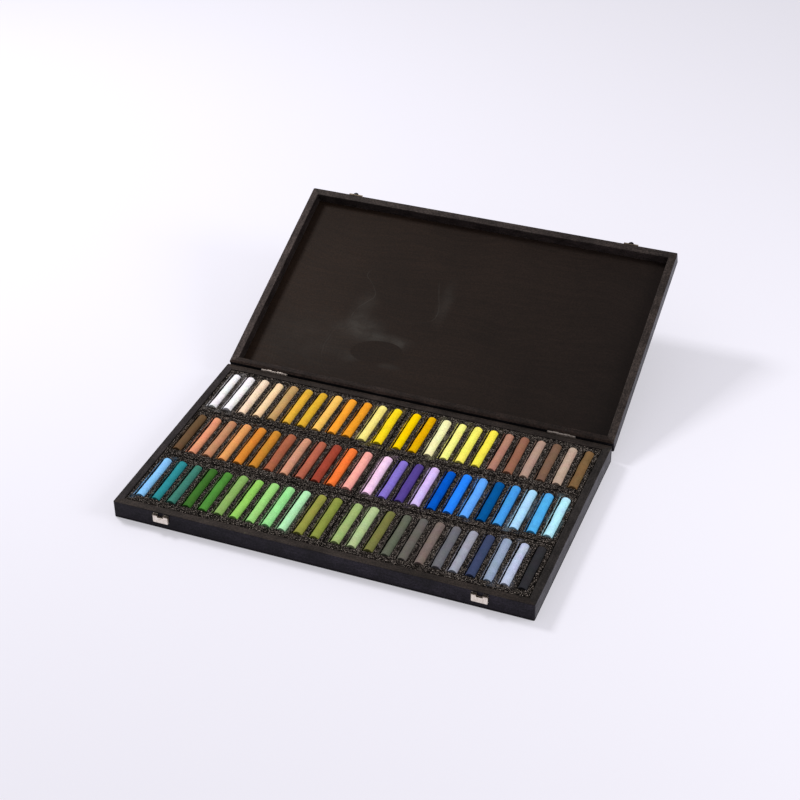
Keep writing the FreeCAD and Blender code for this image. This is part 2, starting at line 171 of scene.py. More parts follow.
def case_point(tree, on_lid):
    """Where a point lies with the lid shut, so that both halves share one upright set of axes."""
    place = node(tree, "TexCoord").outputs["Object"]
    if not on_lid:
        return place
    turned = node(tree, "Mapping", {"Vector": place, "Rotation": (open_angle, 0, 0), "Location": shut_shift})
    return turned.outputs["Vector"]


def case_normal(tree, on_lid):
    """The surface's normal, turned back with the lid in the same way."""
    normal = node(tree, "TexCoord").outputs["Normal"]
    if not on_lid:
        return normal
    return node(tree, "Mapping", {"Vector": normal, "Rotation": (open_angle, 0, 0)},
                vector_type="NORMAL").outputs["Vector"]


def ramp(tree, value, stops):
    """A colour ramp with the given (place, colour code) stops."""
    made = node(tree, "ValToRGB", {"Fac": value})
    line = made.color_ramp.elements
    while len(line) < len(stops):
        line.new(0.5)
    for element, (place, code) in zip(line, stops):
        element.position = place
        element.color = colour(code)
    return made.outputs["Color"]


def mixed(tree, share, first, second):
    """First colour where share is 0, second where it is 1."""
    return node(tree, "Mix", {0: share, 6: first, 7: second}, data_type="RGBA").outputs[2]


def spread(tree, value, low, high, first, second):
    """First where value is at low, second where it is at high, and evenly between them."""
    return node(tree, "MapRange", {"Value": value, "From Min": low, "From Max": high,
                                   "To Min": first, "To Max": second}).outputs["Result"]


def falls(tree, value, near, far, most=1.0):
    """Most up to near, falling smoothly to 0 at far."""
    return node(tree, "MapRange", {"Value": value, "From Min": near, "From Max": far, "To Min": most,
                                   "To Max": 0.0}, interpolation_type="SMOOTHSTEP").outputs["Result"]


def times(tree, first, second):
    return node(tree, "Math", {0: first, 1: second}, operation="MULTIPLY").outputs[0]


def plus(tree, first, second):
    return node(tree, "Math", {0: first, 1: second}, operation="ADD").outputs[0]


def size_of(tree, value):
    return node(tree, "Math", {0: value}, operation="ABSOLUTE").outputs[0]


def shaded(tree, tint, value):
    """A colour made lighter or darker by a number."""
    return node(tree, "HueSaturation", {"Color": tint, "Value": value}).outputs["Color"]


def flatness(tree, on_lid):
    """1 on faces that lie flat with the lid shut, 0 on upright ones."""
    upward = node(tree, "SeparateXYZ", {"Vector": case_normal(tree, on_lid)}).outputs["Z"]
    return spread(tree, size_of(tree, upward), 0.45, 0.85, 0.0, 1.0)


def arris_mask(tree, on_lid):
    """1 on an edge rounded between two flat faces, 0 on the flats."""
    sides = node(tree, "SeparateXYZ", {"Vector": case_normal(tree, on_lid)})
    sizes = [size_of(tree, sides.outputs[i]) for i in range(3)]
    two = node(tree, "Math", {0: sizes[0], 1: sizes[1]}, operation="MAXIMUM").outputs[0]
    most = node(tree, "Math", {0: two, 1: sizes[2]}, operation="MAXIMUM").outputs[0]
    return falls(tree, most, 0.80, 0.985)


def chalk_specks(tree, place, amount):
    """How much of a surface crumbs of dropped chalk hide, and their mixed ochre and olive tint."""
    crumbs = node(tree, "TexVoronoi", {"Vector": place, "Scale": 95.0})
    lot = node(tree, "SeparateColor", {"Color": crumbs.outputs["Color"]})
    chosen = spread(tree, lot.outputs[0], 0.80, 0.86, 0.0, amount)
    ragged = node(tree, "TexNoise", {"Vector": place, "Scale": 900.0, "Detail": 2.0}).outputs["Fac"]
    reach = plus(tree, crumbs.outputs["Distance"], spread(tree, ragged, 0.3, 0.7, -0.09, 0.09))
    tint = ramp(tree, lot.outputs[1], [(0.1, "7A6A3C"), (0.4, "8C7A50"), (0.6, "6C7048"), (0.9, "8A8478")])
    return times(tree, falls(tree, reach, 0.03, 0.17), chosen), tint


def stained_wood(name, rim_stain_and_sheen, across, on_lid):
    """Black stain on softwood whose grain runs along X, or along Y where across is set."""
    made, tree, shader = new_material(name)
    place = case_point(tree, on_lid)
    along = (60, 7, 60) if across else (7, 60, 60)
    stretched = node(tree, "Mapping", {"Vector": place, "Scale": along}).outputs["Vector"]
    streaks = node(tree, "TexNoise", {"Vector": stretched, "Scale": 9.0, "Detail": 5.0, "Roughness": 0.62,
                                      "Distortion": 0.35}).outputs["Fac"]
    pores = node(tree, "TexNoise", {"Vector": stretched, "Scale": 30.0, "Detail": 2.0}).outputs["Fac"]
    patches = node(tree, "TexNoise", {"Vector": place, "Scale": 42.0, "Detail": 4.0,
                                      "Roughness": 0.6}).outputs["Fac"]
    fuzz = node(tree, "TexNoise", {"Vector": place, "Scale": 620.0, "Detail": 3.0,
                                   "Roughness": 0.7}).outputs["Fac"]
    flat = flatness(tree, on_lid)
    axes = node(tree, "SeparateXYZ", {"Vector": place})
    inward = node(tree, "Math", {0: times(tree, size_of(tree, axes.outputs["X"]), 1 / rail_middle[0]),
                                 1: times(tree, size_of(tree, axes.outputs["Y"]), 1 / rail_middle[1])},
                  operation="MAXIMUM").outputs[0]
    # Outer upright faces take the blue-tinted stain, painted cool light from the front.
    upright = mixed(tree, falls(tree, inward, 0.995, 1.005), colour(outer_stain_and_cool_light), colour(inner_stain))
    # Painted shade: upright faces by the hinges are painted darker, for the shade in the narrow gap between
    # the halves, and made duller.
    by_hinges = spread(tree, axes.outputs["Y"], rail_middle[1], rail_middle[1] + hinge_side_fade, 0.0, 1.0)
    upright = shaded(tree, upright, spread(tree, by_hinges, 0.0, 1.0, 1.0, 0.5))
    stain = mixed(tree, flat, upright, colour(rim_stain_and_sheen))
    stain = shaded(tree, stain, spread(tree, streaks, 0.30, 0.72, 0.66, 1.36))
    stain = shaded(tree, stain, spread(tree, patches, 0.36, 0.64, 0.68, 1.30))
    stain = shaded(tree, stain, spread(tree, fuzz, 0.38, 0.62, 0.50, 1.48))
    # Painted light: upright faces grow lighter towards the right, where the right lamp shines on them, and
    # the rims grow lighter towards the left, a painted sheen of the lamp at the left.
    rightward = spread(tree, axes.outputs["X"], -case_half_width, case_half_width, -1.0, 1.0)
    stain = shaded(tree, stain, plus(tree, times(tree, rightward, spread(tree, flat, 0.0, 1.0, 0.35, -0.16)),
                                     spread(tree, flat, 0.0, 1.0, 1.30, 1.0)))
    pits = spread(tree, pores, 0.60, 0.72, 0.0, 0.5)
    stain = mixed(tree, pits, stain, colour("141214"))
    wear_and_painted_shade = times(tree, arris_mask(tree, on_lid), spread(tree, patches, 0.5, 0.68, 0.0, 0.5))
    wear_and_painted_shade = times(tree, wear_and_painted_shade, flat)
    stain = mixed(tree, wear_and_painted_shade, stain, colour("5E554E"))
    hidden, tint = chalk_specks(tree, place, 0.55)
    tree.links.new(mixed(tree, times(tree, hidden, flat), stain, tint), shader.inputs["Base Color"])
    polish = plus(tree, spread(tree, flat, 0.0, 1.0, 0.36, 0.62),
                  spread(tree, streaks, 0.3, 0.7, 0.07, -0.07))
    tree.links.new(plus(tree, polish, times(tree, by_hinges, 0.6)), shader.inputs["Roughness"])
    relief = node(tree, "Math", {0: streaks, 1: pits}, operation="SUBTRACT").outputs[0]
    bump = node(tree, "Bump", {"Height": plus(tree, relief, times(tree, fuzz, 0.5)), "Strength": 0.35,
                               "Distance": 0.0003})
    tree.links.new(bump.outputs["Normal"], shader.inputs["Normal"])
    shader.inputs["Specular IOR Level"].default_value = 0.10
    return made


def finish_node(name, material):
    """Gives a CAD node its material."""
    piece = frame["nodes"][name]
    piece.data.materials.clear()
    piece.data.materials.append(material)


for rail_name, rim_stain_and_sheen in rim_stains_and_sheen.items():
    across = "left" in rail_name or "right" in rail_name
    finish_node(rail_name, stained_wood(rail_name + "_stain", rim_stain_and_sheen, across, rail_name.startswith("lid")))

# Plywood panels ---------------------------------------------------------------------------------------
# The lid's top and the tray's bottom are thin three-ply birch, glued over the frames and stained with
# them. The face veneer is peeled, so its grain runs in wandering contour lines. The lid's inner face has
# a boat-shaped patch let in over a knot, with chalk rubbed round it.
patch_centre = (-0.068, 0.071)
patch_half = (0.0295, 0.0150)
patch_turn = -0.16
any_depth = 1000.0
arc_half = (0.0295, 0.026)
arc_spacing = 0.125
ply_thickness = 0.001
lid_inner_face = 0.0318
line_width = 0.0007
zigzag = [(-0.042, -0.105), (-0.039, -0.112), (-0.030, -0.116), (-0.022, -0.109), (-0.014, -0.102),
          (-0.002, -0.097), (0.006, -0.102), (0.020, -0.111), (0.034, -0.113)]
hook = [(-0.040, -0.032), (-0.018, -0.025), (-0.004, -0.020), (0.008, -0.019), (0.014, -0.021),
        (0.018, -0.026), (0.021, -0.034), (0.024, -0.044), (0.028, -0.056), (0.031, -0.066)]
chalk_smears = [((-0.096, 0.044), (0.026, 0.016), 0.20), ((-0.103, 0.020), (0.013, 0.024), 0.12),
                ((-0.066, 0.052), (0.030, 0.007), 0.19), ((-0.044, 0.058), (0.009, 0.007), 0.14),
                ((-0.096, 0.083), (0.013, 0.007), 0.12), ((-0.048, 0.087), (0.012, 0.004), 0.12),
                ((-0.015, -0.012), (0.008, 0.030), 0.09), ((-0.145, 0.070), (0.055, 0.035), 0.06)]


def distance_from(tree, place, centre, half, turn=0.0):
    """Distance from a point in the panel's plane, in units of a pair of half widths turned that far."""
    moved = node(tree, "Mapping", {"Vector": place, "Location": (*centre, 0.0), "Rotation": (0.0, 0.0, turn),
                                   "Scale": (*half, any_depth)}, vector_type="TEXTURE").outputs["Vector"]
    return node(tree, "VectorMath", {0: moved}, operation="LENGTH").outputs["Value"]


def contour_lines(tree, place, offset, stretch, count, width):
    """Thin lines where a slow wandering field crosses whole numbers, as the rings of peeled veneer do."""
    field = node(tree, "Mapping", {"Vector": place, "Location": offset, "Scale": stretch}).outputs["Vector"]
    slow = node(tree, "TexNoise", {"Vector": field, "Scale": 1.0, "Detail": 1.2, "Roughness": 0.45,
                                   "Distortion": 0.5}).outputs["Fac"]
    fold = node(tree, "Math", {0: times(tree, slow, count), 1: 0.5}, operation="PINGPONG").outputs[0]
    return falls(tree, fold, 0.0, width)


def grain_line(tree, axes, stops, most):
    """How much one thin pale line of grain shows. It runs along Y through the given (Y, X) stops."""
    low, high = stops[0][0], stops[-1][0]
    widest = 0.1
    along = spread(tree, axes.outputs["Y"], low, high, 0.0, 1.0)
    line = node(tree, "FloatCurve", {"Value": along})
    curve = line.mapping.curves[0]
    while len(curve.points) < len(stops):
        curve.points.new(0.5, 0.5)
    middle = stops[0][1]
    for point, (y, x) in zip(curve.points, stops):
        point.location = ((y - low) / (high - low), 0.5 + (x - middle) / widest)
    line.mapping.update()
    place = plus(tree, times(tree, plus(tree, line.outputs["Value"], -0.5), widest), middle)
    off = node(tree, "Math", {0: axes.outputs["X"], 1: place}, operation="SUBTRACT").outputs[0]
    ends = node(tree, "Math", {0: plus(tree, along, -0.5)}, operation="ABSOLUTE").outputs[0]
    return times(tree, falls(tree, size_of(tree, off), line_width * 0.3, line_width, most),
                 falls(tree, ends, 0.40, 0.499))


def knot_arcs(tree, place, nearest, furthest, most):
    """Thin rings round the knot, between two distances from it in units of the arcs' half widths."""
    wander = node(tree, "TexNoise", {"Vector": place, "Scale": 22.0, "Detail": 2.0}).outputs["Fac"]
    reach = plus(tree, distance_from(tree, place, patch_centre, arc_half),
                 spread(tree, wander, 0.3, 0.7, -0.12, 0.12))
    fold = node(tree, "Math", {0: reach, 1: arc_spacing / 2}, operation="PINGPONG").outputs[0]
    rings = falls(tree, fold, 0.0, arc_spacing * 0.22, most)
    return times(tree, times(tree, rings, falls(tree, reach, furthest * 0.85, furthest)),
                 spread(tree, reach, nearest, nearest * 1.1, 0.0, 1.0))


def plywood(name, on_lid):
    """Stained birch plywood, with its plies on the edges and, on the lid, the chalky marks inside."""
    made, tree, shader = new_material(name)
    place = case_point(tree, on_lid)
    axes = node(tree, "SeparateXYZ", {"Vector": place})
    wander = node(tree, "TexNoise", {"Vector": place, "Scale": 9.0, "Detail": 1.0}).outputs["Fac"]
    wavy = node(tree, "CombineXYZ", {"Y": times(tree, wander, 0.05)}).outputs["Vector"]
    wavy = node(tree, "VectorMath", {0: place, 1: wavy}, operation="ADD").outputs[0]
    stretched = node(tree, "Mapping", {"Vector": wavy, "Scale": (60, 700, 700)}).outputs["Vector"]
    fibres = node(tree, "TexNoise", {"Vector": stretched, "Scale": 1.0, "Detail": 6.0,
                                     "Roughness": 0.65}).outputs["Fac"]
    combed = node(tree, "Mapping", {"Vector": wavy, "Scale": (7, 330, 330)}).outputs["Vector"]
    combed = node(tree, "TexNoise", {"Vector": combed, "Scale": 1.0, "Detail": 2.0}).outputs["Fac"]
    cloudy = node(tree, "TexNoise", {"Vector": place, "Scale": 14.0, "Detail": 4.0}).outputs["Fac"]
    fuzz = node(tree, "TexNoise", {"Vector": place, "Scale": 560.0, "Detail": 3.0,
                                   "Roughness": 0.7}).outputs["Fac"]
    # The face is painted browner and lighter towards the left and blacker towards the right: painted sheen of
    # the lamp at the left.
    painted_sheen_falloff = spread(tree, axes.outputs["X"], -case_half_width, case_half_width, 0.0, 1.0)
    face = mixed(tree, painted_sheen_falloff, colour("251A13"), colour("1A1310"))
    face = shaded(tree, face, spread(tree, fibres, 0.32, 0.70, 0.82, 1.18))
    face = shaded(tree, face, spread(tree, combed, 0.38, 0.62, 0.93, 1.07))
    face = shaded(tree, face, spread(tree, cloudy, 0.38, 0.62, 0.90, 1.12))
    face = shaded(tree, face, spread(tree, fuzz, 0.38, 0.62, 0.77, 1.23))
    if on_lid:
        marks = grain_line(tree, axes, zigzag, 0.14)
        marks = plus(tree, marks, grain_line(tree, axes, hook, 0.15))
        broken = spread(tree, cloudy, 0.40, 0.58, 0.40, 1.0)
        arcs = plus(tree, knot_arcs(tree, place, 1.95, 2.40, 0.18), knot_arcs(tree, place, 3.90, 4.50, 0.20))
        arcs = times(tree, arcs, spread(tree, axes.outputs["Y"], 0.040, 0.065, 0.0, 1.0))
        arcs = times(tree, arcs, spread(tree, axes.outputs["X"], -0.110, -0.090, 1.0, 0.0))
        marks = plus(tree, marks, times(tree, arcs, broken))
        for centre, half, most in chalk_smears:
            reach = distance_from(tree, place, centre, half)
            marks = plus(tree, marks, falls(tree, reach, 0.2, 1.5, most))
        haze_noise = node(tree, "TexNoise", {"Vector": place, "Scale": 60.0, "Detail": 5.0, "Roughness": 0.6,
                                             "Distortion": 0.6}).outputs["Fac"]
        marks = times(tree, marks, spread(tree, haze_noise, 0.32, 0.60, 0.35, 1.0))
        reach = distance_from(tree, place, patch_centre, patch_half, patch_turn)
        outside = spread(tree, reach, 0.985, 1.015, 0.0, 1.0)
        off_face = size_of(tree, plus(tree, axes.outputs["Z"], -lid_inner_face))
        inner_face = falls(tree, off_face, 0.0004, 0.0008)
        face = mixed(tree, times(tree, times(tree, marks, outside), inner_face), face, colour("5A5853"))
        face = shaded(tree, face, spread(tree, times(tree, outside, inner_face), 0.0, 1.0, 0.90, 1.0))
    else:
        rings = contour_lines(tree, place, (0.31, 0.17, 0.0), (7.0, 19.0, 4.0), 9.0, 0.05)
        rings = times(tree, rings, spread(tree, cloudy, 0.48, 0.68, 0.0, 0.42))
        face = mixed(tree, rings, face, colour("40362F"))
    upright = node(tree, "Math", {0: 1.0, 1: flatness(tree, on_lid)}, operation="SUBTRACT").outputs[0]
    ply = node(tree, "Math", {0: times(tree, axes.outputs["Z"], 1 / ply_thickness), 1: 1.0},
               operation="PINGPONG")
    edge = ramp(tree, ply.outputs[0], [(0.25, "151316"), (0.45, "1D1A20"), (0.85, "211D20")])
    face = mixed(tree, upright, face, edge)
    wear_and_painted_shade = times(tree, arris_mask(tree, on_lid), spread(tree, cloudy, 0.45, 0.70, 0.0, 0.35))
    tree.links.new(mixed(tree, wear_and_painted_shade, face, colour("4E4741")), shader.inputs["Base Color"])
    tree.links.new(spread(tree, fibres, 0.3, 0.7, 0.52, 0.66), shader.inputs["Roughness"])
    bump = node(tree, "Bump", {"Height": fibres, "Strength": 0.3, "Distance": 0.0002})
    tree.links.new(bump.outputs["Normal"], shader.inputs["Normal"])
    shader.inputs["Specular IOR Level"].default_value = 0.08
    return made


finish_node("lid_top_panel", plywood("lid_plywood", True))
finish_node("tray_bottom_panel", plywood("tray_plywood", False))

# Hinges and latches -----------------------------------------------------------------------------------
# Pressed from thin steel strip, nickel plated and tumbled, so they are satin with a warm tint and faintly
# marked. The latches' rolled knuckles are painted a mottled brown and the plate above them near black:
# painted shade and dark reflection on the curved knuckles. The keepers' tongues are blackened and painted
# near black, so that they also stand for the shade inside their hoods. Pins, screws and nails are plain
# bright steel.
latch_axis = Vector((0.0, -0.1333, 0.0178))
knuckle_reach = 0.00135
knuckle_fade = 0.0003
painted_shade_fade = 0.0006


def plated(name, tint, dull, roughness, painted_knuckle_shade=False):
    """Satin metal, clouded from one colour to a duller one."""
    made, tree, shader = new_material(name)
    place = node(tree, "TexCoord").outputs["Object"]
    cloud = node(tree, "TexNoise", {"Vector": place, "Scale": 420.0, "Detail": 4.0}).outputs["Fac"]
    stretched = node(tree, "Mapping", {"Vector": place, "Scale": (150, 1800, 1800)}).outputs["Vector"]
    rolled = node(tree, "TexNoise", {"Vector": stretched, "Scale": 1.0, "Detail": 3.0}).outputs["Fac"]
    metal = ramp(tree, cloud, [(0.35, tint), (0.75, dull)])
    # Painted shade: the rolled knuckles are painted a mottled dark brown for the shade and dark reflection on
    # their curved tops.
    if painted_knuckle_shade:
        beside = node(tree, "Mapping", {"Vector": place, "Location": -latch_axis}).outputs["Vector"]
        beside = node(tree, "VectorMath", {0: beside, 1: (0.0, 1.0, 1.0)}, operation="MULTIPLY").outputs[0]
        reach = node(tree, "VectorMath", {0: beside}, operation="LENGTH").outputs["Value"]
        wear_and_painted_shade = falls(tree, reach, knuckle_reach, knuckle_reach + knuckle_fade, 0.85)
        mottle = node(tree, "TexNoise", {"Vector": place, "Scale": 900.0, "Detail": 3.0}).outputs["Fac"]
        mottle = ramp(tree, mottle, [(0.38, "2E241D"), (0.50, "5F5042"), (0.66, "B7A591")])
        metal = mixed(tree, wear_and_painted_shade, metal, mottle)
        # Painted shade: the plate above the latch axis is painted near black.
        height = node(tree, "SeparateXYZ", {"Vector": place}).outputs["Z"]
        painted_shade_above = spread(tree, height, latch_axis.z, latch_axis.z + painted_shade_fade, 0.0, 0.9)
        metal = mixed(tree, painted_shade_above, metal, colour("1A1512"))
    tree.links.new(metal, shader.inputs["Base Color"])
    shader.inputs["Metallic"].default_value = 1.0
    tree.links.new(spread(tree, cloud, 0.3, 0.7, roughness, roughness + 0.16), shader.inputs["Roughness"])
    bump = node(tree, "Bump", {"Height": rolled, "Strength": 0.25, "Distance": 0.00005})
    tree.links.new(bump.outputs["Normal"], shader.inputs["Normal"])
    return made


keeper_nickel = plated("keeper_nickel_plate", "9C8D7A", "5E5143", 0.40)
hinge_nickel = plated("hinge_nickel_plate", "A59B93", "6E655D", 0.34)
latch_nickel = plated("latch_nickel_plate", "EFE6DA", "D2C6B8", 0.30, painted_knuckle_shade=True)
bright_steel = plated("bright_steel", "C9C5C0", "8F8A84", 0.30)
# Blackened steel, painted near black so that it also stands for the shade inside the keepers' hoods.
blackened_and_shaded = plated("blackened_steel", "12100F", "0A0909", 0.60)
blackened_and_shaded_shader = blackened_and_shaded.node_tree.nodes["Principled BSDF"]
blackened_and_shaded_shader.inputs["Metallic"].default_value = 0.0
blackened_and_shaded_shader.inputs["Specular IOR Level"].default_value = 0.1
for side in ("left", "right"):
    for part_name, metal in (("hinge_%s_tray_leaf", hinge_nickel), ("hinge_%s_lid_leaf", hinge_nickel),
                             ("hinge_%s_pin", bright_steel), ("latch_%s_base", latch_nickel),
                             ("latch_%s_flap", latch_nickel), ("latch_%s_pins", bright_steel),
                             ("latch_%s_keeper", keeper_nickel), ("latch_%s_tongue", blackened_and_shaded)):
        finish_node(part_name % side, metal)
for name in ("tray_hinge_screws", "lid_hinge_screws", "latch_base_nails", "latch_keeper_nails"):
    finish_node(name, bright_steel)

# Pastel sticks ----------------------------------------------------------------------------------------
# Seventy-two round sticks of pigment, chalk and a little gum, extruded, cut and dried, so no two are
# quite straight or quite the same thickness. They lie loose, twelve to an insert.
pigments = {
    "back_left": {
        "zinc white": "FCF9FC", "cool white": "FEFBFE", "shell": "FEE1C2", "light ochre": "FDDBAC",
        "raw umber tint": "C6A068", "old gold": "E8B43C", "gold ochre": "E2B234", "apricot": "FFCA64",
        "marigold": "FFA834", "deep marigold": "F4A02A", "straw": "FFEE88", "golden yellow": "FFDE20"},
    "back_right": {
        "warm yellow": "FFD602", "mustard": "E9B204", "cream": "FFFABC", "pale lemon": "FFFB8C",
        "light lemon": "FFF56A", "lemon": "FFEF4E", "rose taupe": "B4826E", "chestnut": "976852",
        "mushroom": "B29484", "walnut": "7B5F4D", "stone": "C0A694", "bronze": "7C603F"},
    "middle_left": {
        "raw umber": "6A5239", "salmon ochre": "EA9C76", "clay": "C68E6A", "light orange": "EBA262",
        "burnt orange": "E08C36", "caramel": "CE8A32", "sienna": "AC6548", "tan rose": "D6997C",
        "brick": "BA6850", "oxide red": "A44836", "flame": "FF7F3A", "coral": "FFAFA2"},
    "middle_right": {
        "orchid tint": "FFD6F4", "lavender violet": "8C78D2", "deep violet": "584591", "lilac": "E0C5FF",
        "cobalt": "045AC8", "azure": "2888FF", "light azure": "64ADFF", "petrol blue": "06589B",
        "cerulean": "48A0E9", "ice blue": "B2E1FF", "sky": "54B2EE", "pale aqua": "BDF2FF"},
    "front_left": {
        "summer sky": "8ACAFB", "teal": "308F97", "sea green": "418071", "forest": "40722D",
        "fern": "51903B", "moss": "8EB564", "leaf": "98D263", "apple": "A2DD7F",
        "spearmint": "9FE998", "mint": "B8F0BA", "olive": "989948", "dull olive": "8E9845"},
    "front_right": {
        "sage": "A3BB74", "pale sage": "B5CB92", "drab": "7B7C44", "slate green": "646959",
        "warm grey": "69655F", "rose grey": "7E6F69", "mid grey": "706F75", "silver": "A2A4B1",
        "indigo": "3F4969", "steel blue": "98A7C0", "frost": "C2CCE4", "lamp black": "313033"},
}
sticks_in_node = 3
stick_sides = 28
stick_rings = 18
shoulder = 0.0004
end_insets = (0.38, 0.30)
thicknesses = (0.995, 1.065)
most_taper = 0.03
most_bend = 0.0003
most_skew = 0.009
trims = (-0.0004, 0.0003)
wobbles = (0.5, 2.0)
long_swell_rate, long_swell_depth = 4.5, 0.035
short_swell_rate, short_swell_depth = 12, 0.03
lump_rate, lump_rate_along, lump_depth = 260, 150, 0.03
wander_rate, wander_reach = 3, 0.0004
# Painted shade: the sticks' end faces are painted darker, for the shade on ends turned from the lamps and
# hemmed in by foam.
painted_end_shade = 0.45
same_spot = 1e-6
near_spot = 1e-5
square_on = 0.999
smooth_angle = math.radians(50)
pinch = random.Random(31)

chalk, tree, shader = new_material("pressed_chalk")
place = node(tree, "TexCoord").outputs["Object"]
pigment = node(tree, "Attribute", attribute_name="pigment").outputs["Color"]
grit = node(tree, "TexNoise", {"Vector": place, "Scale": 620.0, "Detail": 5.0,
                               "Roughness": 0.75}).outputs["Fac"]
bloom = node(tree, "TexNoise", {"Vector": place, "Scale": 160.0, "Detail": 4.0}).outputs["Fac"]
smudges = node(tree, "TexNoise", {"Vector": place, "Scale": 85.0, "Detail": 3.0}).outputs["Color"]
smudges = node(tree, "VectorMath", {0: smudges, 1: (0.30, 0.26, 0.30), 2: (0.85, 0.87, 0.85)},
               operation="MULTIPLY_ADD").outputs[0]
smudged = node(tree, "VectorMath", {0: pigment, 1: smudges}, operation="MULTIPLY").outputs[0]
body = shaded(tree, smudged, spread(tree, grit, 0.36, 0.64, 0.86, 1.12))
tree.links.new(shaded(tree, body, spread(tree, bloom, 0.36, 0.64, 0.95, 1.05)), shader.inputs["Base Color"])
shader.inputs["Roughness"].default_value = 0.95
shader.inputs["Specular IOR Level"].default_value = 0.02
bump = node(tree, "Bump", {"Height": grit, "Strength": 0.4, "Distance": 0.0002})
tree.links.new(bump.outputs["Normal"], shader.inputs["Normal"])


def select_where(test, kind="FACE"):
    """In edit mode, selects only the faces, or edges, that pass the test."""
    bpy.ops.mesh.select_mode(type=kind)
    bpy.ops.mesh.select_all(action="DESELECT")
    bpy.ops.object.mode_set(mode="OBJECT")
    mesh = bpy.context.object.data
    items = mesh.polygons if kind == "FACE" else mesh.edges
    for item in items:
        item.select = test(mesh, item)
    bpy.ops.object.mode_set(mode="EDIT")


def cut_across(place, normal):
    """A cut right through the mesh in edit mode, which keeps both sides."""
    bpy.ops.mesh.select_all(action="SELECT")
    bpy.ops.mesh.bisect(plane_co=place, plane_no=normal)


stick_low, stick_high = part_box("sticks_front_left_1")
stick_length = stick_high.y - stick_low.y
stick_radius = (stick_high.z - stick_low.z) / 2

bpy.ops.mesh.primitive_cylinder_add(vertices=stick_sides, radius=stick_radius, depth=stick_length,
                                    rotation=(math.pi / 2, 0, 0))
master_stick = bpy.context.object
bpy.ops.object.transform_apply(location=True, rotation=True, scale=True)
bpy.ops.object.mode_set(mode="EDIT")
select_where(lambda mesh, edge: all(abs(abs(mesh.vertices[v].co.y) - stick_length / 2) < same_spot
                                    for v in edge.vertices), "EDGE")
bpy.ops.mesh.bevel(offset=shoulder, segments=3, affect="EDGES")
select_where(lambda mesh, face: abs(face.normal.y) > square_on)
for share in end_insets:
    bpy.ops.mesh.inset(thickness=stick_radius * share, use_individual=True)
for i in range(1, stick_rings):
    cut_across((0, (i / stick_rings - 0.5) * (stick_length - 2 * shoulder), 0), (0, 1, 0))
bpy.ops.object.mode_set(mode="OBJECT")
bpy.ops.object.shade_smooth_by_angle(angle=smooth_angle)


def place_stick(place, number, code):
    """A copy of the stick with its own mesh, lumps and bend, laid in its pocket."""
    node_name = "sticks_" + place + "_" + str(number // sticks_in_node + 1)
    low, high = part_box(node_name)
    pitch = (high.x - low.x - 2 * stick_radius) / (sticks_in_node - 1)
    middle_x = low.x + stick_radius + (number % sticks_in_node) * pitch
    middle = Vector((middle_x, (low.y + high.y) / 2, low.z))
    stick = master_stick.copy()
    stick.data = master_stick.data.copy()
    stick.name = "stick_%s_%02d" % (place, number + 1)
    bpy.context.collection.objects.link(stick)
    thickness = pinch.uniform(*thicknesses)
    taper = pinch.uniform(-most_taper, most_taper)
    bend = pinch.uniform(-most_bend, most_bend)
    skew = pinch.uniform(-most_skew, most_skew)
    trim = pinch.uniform(*trims)
    seed = pinch.uniform(0, 900)
    wobble = pinch.uniform(*wobbles)
    for vertex in stick.data.vertices:
        x, y, z = vertex.co
        run = y / stick_length
        swell = (noise.noise((run * long_swell_rate, seed, 0.0)) * long_swell_depth
                 + noise.noise((run * short_swell_rate, seed, 3.0)) * short_swell_depth)
        lumps = noise.noise((x * lump_rate, y * lump_rate_along, z * lump_rate + seed)) * lump_depth
        swell *= wobble
        size = thickness * (1 + taper * run * 2 + swell + lumps)
        wander = noise.noise((run * wander_rate, seed, 7.0)) * wander_reach
        side = bend * math.cos(run * math.pi) + skew * y + wander
        vertex.co = (middle.x + x * size + side, middle.y + y * (1 + trim / stick_length * 2),
                     middle.z + stick_radius * thickness + z * size)
    tint = stick.data.color_attributes.new("pigment", "FLOAT_COLOR", "POINT")
    for vertex, entry in zip(master_stick.data.vertices, tint.data):
        # End faces painted darker: painted shade.
        end_shade = painted_end_shade if abs(vertex.co.y) > stick_length / 2 - near_spot else 1.0
        entry.color = [part * end_shade for part in colour(code)[:3]] + [1.0]
    stick.data.materials.append(chalk)
    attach(stick, "sticks_" + place)
    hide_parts(node_name)


for place_name, row in pigments.items():
    for number, code in enumerate(row.values()):
        place_stick(place_name, number, code)
bpy.data.objects.remove(master_stick)

# Foam inserts -----------------------------------------------------------------------------------------
# Six slabs of charcoal open-cell foam, die cut with a row of pockets each and laid in side by side. The
# cut edges are soft and a little ragged, and those left of a stick hold dust of its colour.
pockets = 12
end_wall = 0.0047
pocket_half_width = stick_radius + 0.0012
pocket_half_length = stick_length / 2 + 0.0010
pocket_gap = 0.0002
pocket_floor = stick_low.z - pocket_gap
pocket_round = 0.0004
slab_round = 0.0010
seam_reach = 0.0030
seam_squeeze = 0.0004
snug_side = 0.0011
snug_end = 0.0007
wall_reach = 0.0040
foam_step = 0.0018
top_cuts = (0.0012, 0.0035)
weld_reach = 0.00002
coarse_rate, coarse_reach = 170, 0.00024
fine_rate, fine_reach = 700, 0.00012
upward_share = 0.6
dust_line = 0.0010
dust_depth = 0.0003
edge_dust = 0.40
dust_gain = 0.7
scatter_gain = 0.65
faint_dust = 0.06
ragged_seed = 31
dusty_sticks = {
    "back_left": {1: 0.3, 2: 0.4, 11: 0.5, 12: 0.5}, "back_right": {1: 0.4, 3: 0.5, 4: 0.5},
    "middle_left": {2: 0.3, 4: 0.3, 11: 0.4}, "middle_right": {1: 0.5, 4: 0.5, 7: 0.6, 10: 0.8, 12: 0.6},
    "front_left": {1: 0.3, 9: 0.4, 10: 0.6}, "front_right": {2: 0.4, 10: 0.4, 11: 0.6},
}

